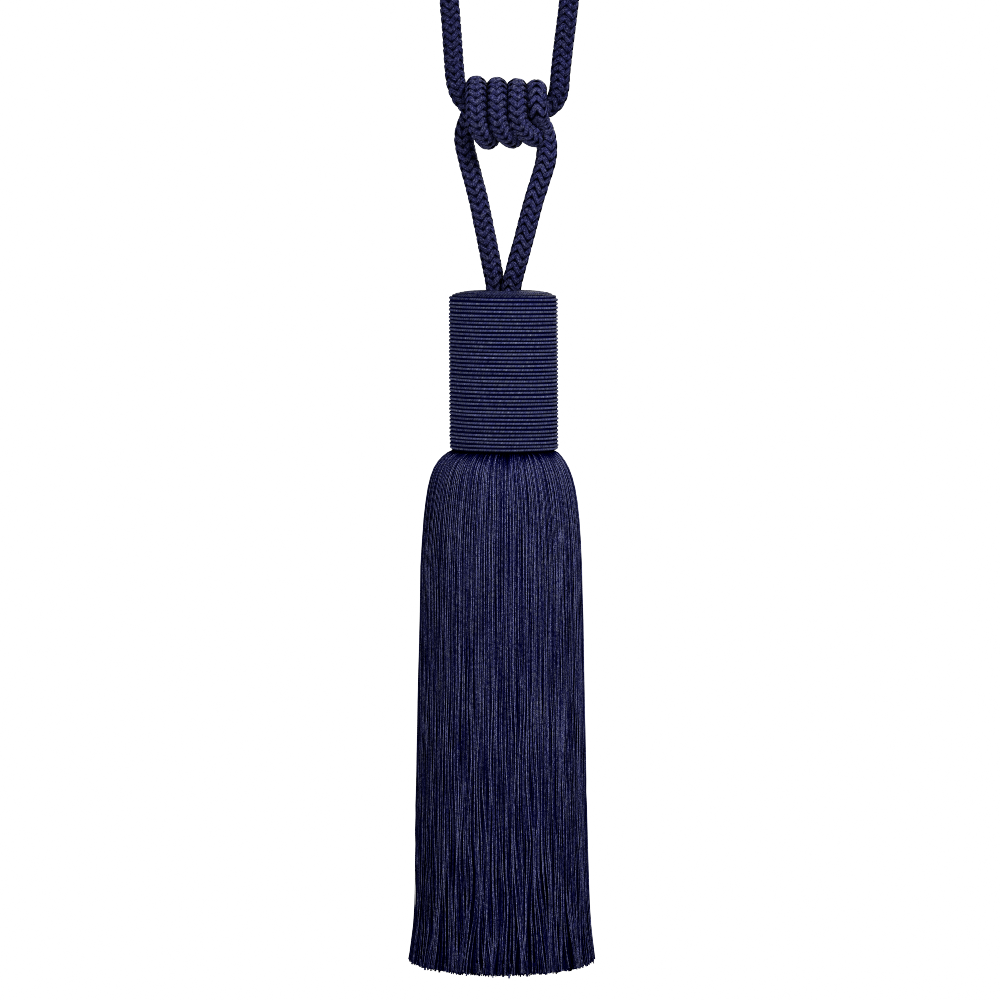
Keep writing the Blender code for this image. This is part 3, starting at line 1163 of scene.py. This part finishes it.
@dataclass
class WoundHead:
    """A turned mould wound with twisted cord, from the hole in its top to its bottom edge."""

    # Depth below the top, and radius there
    outline: Table = (
        (0.0, 0.0), (0.15, 12.0), (0.45, 16.4), (1.1, 20.2), (2.1, 22.9), (3.0, 24.0),
        (4.2, 24.3), (30.0, 24.35), (55.0, 24.35), (69.6, 24.3), (71.2, 23.9),
    )
    outline_step: float = 0.1 * MM
    outline_easing: int = 15
    # How far the head's middle stands to the right at its top, and how much further per depth
    aside_at_top: float = 0.02 * MM
    aside_per_depth: float = 0.005
    hole_radius: float = 8.7 * MM
    hole_depth: float = 9.0 * MM
    pitch: float = 1.70 * MM
    cord_half_height: float = 0.65 * MM
    cord_half_depth: float = 0.78 * MM
    cord_sides: int = 8
    steps_per_turn: int = 120
    tip_turns: float = 0.03
    tip_share: float = 0.1
    # How far each cord's section, and the painted top light on it, turns up from the outline's outward way
    lean: float = 1.0
    seed: int = 31
    wobble: float = 0.10 * MM
    # Waves of the winding's slips, swellings and streaks: wave in turns, share
    slips: Table = ((0.37, 0.5), (3.3, 1.0))
    swellings: Table = ((0.23, 0.7),)
    streaks: Table = ((0.21, 0.05), (1.7, 0.04))
    tone: float = 0.5
    top_shade: float = 0.22
    top_shade_reach: float = 1.4
    mould_sides: int = 96
    mould_rows: int = 60
    mould_inset: float = 0.62 * MM
    # How the mould's hole and floor stay clear of its winding
    pinched_radius: float = 0.4 * MM
    well_slack: float = 0.5 * MM
    lip_slack: float = 0.2 * MM
    lip_drop: float = 0.8 * MM
    floor_slack: float = 0.3 * MM
    floor_drop: float = 0.1 * MM

    def aside(self, depth: Array) -> Array:
        """Reads how far the head's middle stands to the right at a depth below its top."""
        return self.aside_at_top + self.aside_per_depth * depth

    def profile(self, inset: float) -> Array:
        """Traces the head's outline from the hole's edge to the bottom, at a depth under it.

        Args:
            inset: how far under the outline.

        Returns:
            Rows of radius, depth below the top and the two parts of the outward direction.
        """
        rows = np.array(self.outline, float)[:, ::-1] * MM
        along = lengths_along(rows)
        line = read_rows(np.arange(0.0, along[-1], self.outline_step), along, rows)
        facing = unit(np.gradient(line, axis=0))
        easing = np.ones(self.outline_easing) / self.outline_easing
        facing = unit(np.stack([np.convolve(part, easing, "same") for part in facing.T], axis=1))
        line[:, 0] -= facing[:, 1] * inset
        line[:, 1] += facing[:, 0] * inset
        return np.concatenate([line, facing[:, ::-1]], axis=1)[line[:, 0] >= self.hole_radius]

    @staticmethod
    def uneven(rng: Rng, turn: Array, waves: Table) -> Array:
        """Adds up slow wanders of the winding.

        Args:
            rng: the source of random numbers.
            turn: turns of the winding at each ring.
            waves: the wave in turns and the share of each wander.

        Returns:
            An offset at each ring.
        """
        return sum(share * drift(rng, 1, turn[None], wave)[0] for wave, share in waves)

    def wind(self, top: float) -> tuple[Array, Array]:
        """Winds the cord: a spiral over the top that runs on as a close helix down the side.

        Args:
            top: the height of the head's top.

        Returns:
            The rings of the one long cord, and its tone at each ring, with painted shade over the head's
            top.
        """
        line = self.profile(self.cord_half_depth)
        along = lengths_along(line[:, :2])
        turns = (along[-1] - self.cord_half_height) / self.pitch + 0.5
        turn = np.linspace(0, turns, round(turns * self.steps_per_turn) + 1)
        rng = np.random.default_rng(self.seed)
        slip = self.uneven(rng, turn, self.slips) * self.wobble
        proud = self.uneven(rng, turn, self.swellings) * self.wobble
        left = turns - turn
        tucked = np.where(left < 1, left**2 / 2, left - 0.5)
        at = along[-1] - self.cord_half_height - tucked * self.pitch + slip
        radius, depth, out, up = read_rows(at, along, line).T
        angle = TURN * (turn - turns) + math.pi / 2
        centres = round_axis(radius + proud, angle, self.aside(depth), top - depth)
        outward = round_axis(out + self.lean * up, angle, 0.0, up)
        tip = rounded(np.minimum(left, turn) / self.tip_turns + self.tip_share)[None]
        half_width, half_height = self.cord_half_height * tip, self.cord_half_depth * tip
        tone = self.tone - self.top_shade * rounded(up * self.top_shade_reach)
        tone = tone + self.uneven(rng, turn, self.streaks)
        return swept(centres[None], outward[None], half_width, half_height, self.cord_sides), tone

    def mould(self, top: float) -> Array:
        """Turns the mould, from the bottom of its hole up over the top and down the side.

        Args:
            top: the height of the head's top.

        Returns:
            The rings of the mould as one fat strand, pinched shut at both ends.
        """
        line = self.profile(self.mould_inset)
        line = line[np.unique(np.linspace(0, len(line) - 1, self.mould_rows).astype(int)), :2]
        floor_depth = line[-1, 1] + self.floor_drop
        well = (
            (self.pinched_radius, self.hole_depth),
            (self.hole_radius - self.well_slack, self.hole_depth),
            (self.hole_radius - self.lip_slack, line[0, 1] + self.lip_drop),
        )
        floor = ((line[-1, 0] - self.floor_slack, floor_depth), (self.pinched_radius, floor_depth))
        rows = np.array([*well, *line, *floor])
        radius, depth = rows[:, :1], rows[:, 1:]
        angle = -TURN * np.arange(self.mould_sides) / self.mould_sides
        return round_axis(radius, angle, self.aside(depth), top - depth)[None]

    def build(self, wardrobe: Wardrobe) -> None:
        """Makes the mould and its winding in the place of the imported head.

        Args:
            wardrobe: the materials.
        """
        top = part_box("head")[1].z
        # Painted shade: the mould under the winding is almost black
        wardrobe.make(StrandMesh("head_mould", self.mould(top)), MOULD_SHADE_FINISH, "head")
        winding = StrandMesh("head_winding", *self.wind(top), layout_rows=48)
        wardrobe.make(winding, WOUND_FINISH, "head")


# === The skirt ===


@dataclass
class CutSkirt:
    """The skirt of cut yarn: thousands of yarns that fall from under the head to a trimmed edge."""

    # Depth below the top, radius there, and how far the middle hangs aside
    sections: Table = (
        (0.0, 23.2, 0.0), (1.0, 24.9, -0.2), (3.0, 27.1, -0.6), (5.3, 28.9, -0.8), (8.0, 30.4, -0.9),
        (12.0, 31.9, -0.9), (18.0, 33.4, -0.8), (25.0, 34.4, -0.8), (36.0, 35.5, -0.9), (50.0, 36.2, -1.0),
        (76.0, 36.8, -0.9), (103.0, 37.3, -0.9), (130.0, 37.9, -1.0), (155.0, 38.4, -1.0),
        (178.0, 38.8, -0.8), (197.0, 39.1, -0.5), (209.0, 39.6, -0.4), (217.0, 40.4, -0.5),
        (224.0, 41.5, -0.7), (229.3, 42.3, -0.7),
    )
    # Soft locks that the yarn falls in: count round the skirt, depth, phase
    locks: Table = ((11, 0.20, 0.4), (17, 0.16, 2.1), (26, 0.12, 4.4))
    # How loose the locks are at the top, how much looser per share of the way down, and their lean
    lock_looseness: Row = (0.25, 1.1)
    lock_lean: float = 1.5
    # Fine gathers that draw neighbouring yarns together: count round the skirt, strength, lean
    gathers: Table = ((31, 0.08, 0.7), (58, 0.15, -1.3), (89, 0.24, 1.9), (127, 0.26, -2.8))
    # Waves that neighbouring yarns share as they fall: count round the skirt, swing
    sways: Table = ((13, 0.60), (22, 0.42), (35, 0.26), (57, 0.17), (80, 0.12))
    sway_pitch: Row = (45.0, 110.0)
    sway_seed: int = 49
    # Tufts that swing aside together near the cut edge: count round the skirt, swing, phase
    tufts: Table = ((17, 2.6, 0.7), (29, 1.5, 3.9), (47, 0.7, 5.2))
    tufts_from: float = 0.76
    # Single yarns: wave in millimetres, how far they wander at the top, and how much further at the edge
    wander: Row = (58.0, 0.06, 0.26)
    wander_onset: float = 8.0
    splay: Row = (24.0, 0.22, 0.0)
    splay_from: float = 0.55
    lift: Row = (40.0, 0.06, 0.20)
    # How far yarns fan out towards the edge, and the share of the way down where that begins
    fan: Row = (0.9, 0.65)
    late_fan: Row = (1.2, 0.86)
    held_share: float = 0.08
    held_until: float = 0.15
    ring_depths: Row = (
        0.0, 1.2, 2.8, 5.0, 8.0, 12.0, 17.0, 23.0, 31.0, 41.0, 52.0, 64.0, 76.0, 88.0, 100.0, 112.0,
        124.0, 136.0, 148.0, 160.0, 172.0, 184.0, 195.0, 205.0, 214.0, 222.0, 229.3,
    )
    lengths: int = 3
    yarns_per_length: int = 1150
    first_seed: int = 50
    # The yarns' tops are drawn in: down to this depth, by this factor
    drawn_in: Row = (0.6, 0.985)
    yarn_radius: float = 0.22 * MM
    yarn_sizes: Row = (0.9, 1.1)
    yarn_flatness: float = 1.25
    yarn_sides: int = 3
    place_spread: float = 1.2
    # How far each yarn's section turns from facing straight out, at random and on average; the painted top
    # light on its sides turns with it
    roll: float = 0.15
    mean_roll: float = -0.06
    thickness: float = 2.6 * MM
    thickness_fall: float = 0.72
    layer_step: float = 0.618034
    # The cut edge: uneven by so much, long yarns and their share, and its bow from side to front
    raggedness: float = 0.50
    long_yarns: Row = (0.5, 0.06)
    edge_bow: Row = (0.35, 0.85)
    # Tones: over what depth deeper yarns are painted darker as shade, their brightness, paleness and least
    # tone, and the painted shade towards the cut edge and under the head
    depth_shade_reach: float = 0.34
    brightness: float = 1.1
    paleness: Row = (30.0, 0.1)
    least_tone: float = 0.1
    edge_shade: float = 0.12
    head_shade: float = 0.5
    front_shade: float = 1.25
    front_narrowness: int = 3
    shade_spread: Row = (0.2, 1.9)
    shade_start: float = 0.6
    shade_run: float = 2.2
    fill_sides: int = 144
    fill_ends: Row = (0.3, 226.0)
    fill_pinch: float = 0.01
    stubs: int = 3600
    stub_seed: int = 77
    stub_scatter: float = 0.02
    stub_length: float = 5.0
    stub_half_width: float = 0.5 * MM
    stub_raggedness: float = 0.45
    stub_lean: float = 0.5 * MM
    stub_cover: float = 0.6

    @property
    def full_depth(self) -> float:
        """The depth of the skirt's cut edge, in millimetres."""
        return self.sections[-1][0]

    def body_radius(self, depth: Array, angle: Array) -> Array:
        """Reads the skirt's outer radius, with the soft locks that the yarn falls in.

        Args:
            depth: millimetres below the skirt's top.
            angle: the angle round the skirt.

        Returns:
            The radius in metres.
        """
        down = depth / self.full_depth
        near, more = self.lock_looseness
        leaning = self.lock_lean * down
        lock = sum(deep * np.sin(count * angle + phase + leaning) for count, deep, phase in self.locks)
        return (table_value(depth, self.sections) + np.minimum(1.0, near + more * down) * lock) * MM

    def aside(self, depth: Array) -> Array:
        """Reads how far the skirt's middle hangs aside, in metres."""
        return table_value(depth, self.sections, 2) * MM

    def sway(self, start: Array, depth: Array) -> Array:
        """Reads how far the yarns at a place round the skirt lean aside together.

        Args:
            start: the angle at which each yarn starts.
            depth: millimetres below the skirt's top.

        Returns:
            The way aside in millimetres.
        """
        rng = np.random.default_rng(self.sway_seed)
        aside = np.zeros_like(depth)
        for count, swing in self.sways:
            pitch = rng.uniform(*self.sway_pitch) * rng.choice([-1, 1])
            aside += swing * np.sin(count * start + rng.uniform(0, TURN) + TURN * depth / pitch)
        return aside

    def stray(self, rng: Rng, depth: Array, manner: Row) -> Array:
        """Lets every yarn stray by itself.

        Args:
            rng: the source of random numbers.
            depth: millimetres below the skirt's top, one row for each yarn.
            manner: the wave, how far a yarn strays at the top, and how much further at the edge.

        Returns:
            The way that each yarn strays, in millimetres.
        """
        wave, near, more = manner
        return drift(rng, len(depth), depth, wave) * (near + more * depth / self.full_depth)

    def cut_depths(self, rng: Rng, start: Array) -> Array:
        """Cuts the yarns to a bowed and slightly ragged edge.

        Args:
            rng: the source of random numbers.
            start: the angle at which each yarn starts.

        Returns:
            The depth of each yarn's rings, in millimetres.
        """
        extra, share = self.long_yarns
        cut = rng.normal(0.0, self.raggedness, start.shape) + (rng.random(start.shape) < share) * extra
        cut -= self.edge_bow[0] + self.edge_bow[1] * np.cos(start) ** 2
        return np.array(self.ring_depths) * (1 + cut / self.full_depth)

    def fallen(self, rng: Rng, start: Array, depth: Array) -> Array:
        """Lets the yarns gather, wander, cross and stand apart in tufts as they fall.

        Args:
            rng: the source of random numbers.
            start: the angle at which each yarn starts.
            depth: the depth of its rings, in millimetres.

        Returns:
            The angle round the skirt of each ring.
        """
        down = depth / self.full_depth
        gathered = np.zeros_like(depth)
        for count, strength, lean in self.gathers:
            phase = rng.uniform(0, TURN)
            gathered -= strength * np.sin(count * start + phase + lean * TURN * down) / count
        loose = self.held_share + (1 - self.held_share) * rounded(past(down, self.held_until))
        aside = self.stray(rng, depth, self.wander) * rounded(down * self.wander_onset)
        aside = aside + self.sway(start, depth) * loose
        aside = aside + self.stray(rng, depth, self.splay) * rounded(past(down, self.splay_from))
        spread, begin = self.fan
        aside = aside + rng.normal(0, spread, start.shape) * rounded(past(down, begin))
        spread, begin = self.late_fan
        aside = aside + rng.normal(0, spread, start.shape) * np.clip(past(down, begin), 0, None)
        swung = sum(swing * np.sin(count * start + phase) for count, swing, phase in self.tufts)
        aside = aside + swung * np.clip(past(down, self.tufts_from), 0, None) ** 2
        return start + gathered * loose + aside * MM / self.body_radius(depth, start)

    def shaded(self, rng: Rng, start: Array, depth: Array) -> Array:
        """Reads the painted shade of the yarns close under the head, deepest at the front, and towards the
        cut edge.

        Args:
            rng: the source of random numbers.
            start: the angle at which each yarn starts.
            depth: the depth of its rings, in millimetres.

        Returns:
            A factor from 0, wholly dark, to 1 at each ring.
        """
        front = np.clip(-np.sin(start), 0, 1) ** self.front_narrowness
        reach = (self.head_shade + self.front_shade * front) * rng.uniform(*self.shade_spread, start.shape)
        lit = np.clip((depth / reach - self.shade_start) / self.shade_run, 0, 1)
        return lit * (1 - self.edge_shade * depth / self.full_depth)

    def hang(self, length: int, top: float) -> tuple[Array, Array]:
        """Hangs one length of fringe, whose yarns take every third place round the skirt.

        Args:
            length: which length of fringe, from 0.
            top: the height of the skirt's top.

        Returns:
            The rings of the yarns, and their tone at each ring, with painted shade that darkens deeper
            yarns, yarns close under the head and those towards the cut edge.
        """
        rng = np.random.default_rng(self.first_seed + length)
        each = (self.yarns_per_length, 1)
        order = np.arange(self.yarns_per_length)[:, None] * self.lengths + length
        places = order + rng.uniform(-self.place_spread, self.place_spread, each)
        start = TURN * places / (self.yarns_per_length * self.lengths)
        depth = self.cut_depths(rng, start)
        angle = self.fallen(rng, start, depth)
        wave, swing = self.paleness
        pale = rng.uniform(1 - swing, 1.0, each) + swing * drift(rng, len(depth), depth, wave)
        under = (order * self.layer_step % 1) ** self.thickness_fall * self.thickness
        sunk = np.clip(under + self.stray(rng, depth, self.lift) * MM, 0.0, None)
        radius = self.body_radius(depth, angle) - self.yarn_radius - sunk
        radius = radius * np.where(depth < self.drawn_in[0], self.drawn_in[1], 1.0)
        centres = round_axis(radius, angle, self.aside(depth), top - depth * MM)
        outward = round_axis(1.0, angle + rng.normal(self.mean_roll, self.roll, each), 0.0, 0.0)
        size = self.yarn_radius * rng.uniform(*self.yarn_sizes, each) * np.ones_like(depth)
        rings = swept(centres, outward, size * self.yarn_flatness, size, self.yarn_sides)
        # Painted shade: yarns that lie deeper under the others are darker
        depth_shade_factor = np.clip(1 - sunk / (self.depth_shade_reach * self.thickness), 0, 1)
        shaded_tone = np.clip(depth_shade_factor * self.brightness * pale, 0, 1)
        tone = self.least_tone + (1 - self.least_tone) * shaded_tone
        return rings, tone * self.shaded(rng, start, depth)

    def fill_rings(self, top: float) -> Array:
        """Shapes the mass of yarn inside the skirt.

        Args:
            top: the height of the skirt's top.

        Returns:
            The rings of the mass as one fat strand.
        """
        first_depth, last_depth = self.fill_ends
        depth = np.array([first_depth, *self.ring_depths[1:-1], last_depth])[:, None]
        angle = -TURN * np.arange(self.fill_sides) / self.fill_sides
        radius = self.body_radius(depth, angle) - self.thickness
        rings = round_axis(radius, angle, self.aside(depth), top - depth * MM)
        close = rings.mean(axis=1, keepdims=True)
        pinched = close + (rings - close) * self.fill_pinch
        return np.concatenate([pinched[:1], rings, pinched[-1:]])[None]

    def cut_ends(self, top: float) -> tuple[Array, Array]:
        """Sets the cut ends of the inner yarns that show from underneath.

        Args:
            top: the height of the skirt's top.

        Returns:
            The rings of the ends, and each one's tone.
        """
        rng = np.random.default_rng(self.stub_seed)
        index = np.arange(self.stubs)[:, None] + 0.5
        reach = self.sections[-1][1] * MM - self.thickness * self.stub_cover
        golden = math.pi * (3 - math.sqrt(5))
        angle = index * golden + rng.normal(0, self.stub_scatter, self.stubs)[:, None]
        ragged = rng.normal(0, self.stub_raggedness, (self.stubs, 1))
        depth = np.array([self.full_depth - self.stub_length, self.full_depth]) + ragged * [0, 1]
        lean = rng.normal(0, self.stub_lean, (self.stubs, 1, 2)) * np.array([0.0, 1.0])[:, None]
        radius = np.sqrt(index / self.stubs) * reach
        centres = round_axis(radius, angle, self.aside(depth), top - depth * MM)
        centres[..., :2] += lean
        outward = round_axis(1.0, angle, 0.0, 0.0).repeat(2, 1)
        size = np.full((self.stubs, 2), self.stub_half_width)
        return swept(centres, outward, size, size, self.yarn_sides), rng.uniform(0, 1, self.stubs)

    def build(self, wardrobe: Wardrobe) -> None:
        """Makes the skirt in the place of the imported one.

        Args:
            wardrobe: the materials.
        """
        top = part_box("skirt")[1].z
        # Painted shade: the mass inside the skirt is almost black
        fill = StrandMesh("skirt_inner_painted_shade", self.fill_rings(top))
        wardrobe.make(fill, SKIRT_FILL_SHADE_FINISH, "skirt")
        for length in range(self.lengths):
            fringe = StrandMesh(f"skirt_fringe_{length + 1}", *self.hang(length, top))
            wardrobe.make(fringe, SKIRT_FINISH, "skirt")
        ends = StrandMesh("skirt_cut_ends", *self.cut_ends(top))
        wardrobe.make(ends, SKIRT_FINISH, "skirt")


# === The studio ===

WHITE = (1.0, 1.0, 1.0, 1.0)


@dataclass
class SoftLight:
    """A soft box that faces the tassel."""

    name: str
    place: Place
    size: float
    watts: float

    def set_up(self, aim: Vector) -> None:
        """Hangs the light and turns it to the tassel.

        Args:
            aim: the place that it faces.
        """
        lamp = bpy.data.lights.new(self.name, "AREA")
        lamp.shape = "DISK"
        lamp.size = self.size
        lamp.energy = self.watts
        made = added(self.name, lamp)
        made.location = aim + Vector(self.place)
        made.rotation_euler = (-Vector(self.place)).to_track_quat("-Z", "Y").to_euler()


@dataclass
class Studio:
    """A white studio: camera, pale floor, plain surround and soft lights."""

    distance: float = 2.136
    above_head: float = 0.0576
    aside: float = -0.0014
    tilt: float = 4.0517
    lens: float = 172.8
    sensor_width: float = 36.0
    clip_range: tuple[float, float] = (0.05, 50.0)
    filter_width: float = 0.8
    fill_strength: float = 0.05
    floor_height: float = -1.4
    floor_radius: float = 4.8
    floor_steps: int = 96
    floor_paleness: float = 0.88
    floor_roughness: float = 0.9
    floor_glow: float = 0.72
    lights: tuple[SoftLight, ...] = (
        SoftLight("key_light", (0.50, -0.60, 0.80), 0.36, 15.5),
        SoftLight("fill_light", (-0.95, -0.50, 0.60), 0.6, 8.5),
        SoftLight("back_light", (0.5, 1.7, 1.0), 1.2, 38.0),
    )

    def place_camera(self) -> None:
        """Puts the camera a little above the head, tilted slightly down."""
        lens = bpy.data.cameras.new("camera")
        lens.lens = self.lens
        lens.sensor_width = self.sensor_width
        lens.clip_start, lens.clip_end = self.clip_range
        camera = added("camera", lens)
        low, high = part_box("head")
        middle = (low + high) / 2
        offset = (self.aside, -self.distance, high.z - middle.z + self.above_head)
        camera.location = middle + Vector(offset)
        camera.rotation_euler = Euler((math.radians(90 - self.tilt), 0.0, 0.0))
        bpy.context.scene.camera = camera

    def light(self) -> None:
        """Hangs the lights and sets the plain white surround."""
        scene = bpy.context.scene
        low, high = (Vector(corner) for corner in CAD_BOX)
        for lamp in self.lights:
            lamp.set_up((low + high) / 2)
        scene.world = bpy.data.worlds.new("studio")
        scene.world.use_nodes = True
        board = NodeBoard(scene.world.node_tree)
        nodes = scene.world.node_tree.nodes
        board.feed(nodes["Background"], {"Color": WHITE, "Strength": self.fill_strength})
        seen = board.place("ShaderNodeBackground", {"Color": WHITE, "Strength": 1.0}).outputs[0]
        direct = board.place("ShaderNodeLightPath").outputs["Is Camera Ray"]
        mixed = {0: direct, 1: nodes["Background"].outputs[0], 2: seen}
        surface = board.place("ShaderNodeMixShader", mixed).outputs[0]
        board.feed(nodes["World Output"], {"Surface": surface})
        scene.view_settings.view_transform = "Standard"
        scene.cycles.use_denoising = False
        scene.cycles.filter_width = self.filter_width

    def lay_floor(self) -> None:
        """Lays a pale round floor well under the tassel."""
        angle = TURN * np.arange(self.floor_steps) / self.floor_steps
        rim = round_axis(self.floor_radius, angle, 0.0, 0.0)
        mesh = bpy.data.meshes.new("floor")
        mesh.from_pydata(rim.tolist(), [], [tuple(range(self.floor_steps))])
        floor = added("floor", mesh)
        floor.location = (0.0, 0.0, self.floor_height)
        pale = bpy.data.materials.new("floor_white")
        pale.use_nodes = True
        finish = {
            "Base Color": (*[self.floor_paleness] * 3, 1.0),
            "Roughness": self.floor_roughness,
            "Emission Color": WHITE,
            "Emission Strength": self.floor_glow,
        }
        NodeBoard(pale.node_tree).feed(pale.node_tree.nodes["Principled BSDF"], finish)
        mesh.materials.append(pale)


def main() -> None:
    """Builds the studio and every sub-assembly of the tassel in order."""
    logging.basicConfig(level=logging.INFO, format="%(name)s: %(message)s")
    studio = Studio()
    studio.place_camera()
    wardrobe = Wardrobe()
    for part in (HangingRope(), TasselCord(), WoundHead(), CutSkirt()):
        part.build(wardrobe)
    studio.light()
    studio.lay_floor()


if __name__ == "__main__":
    main()
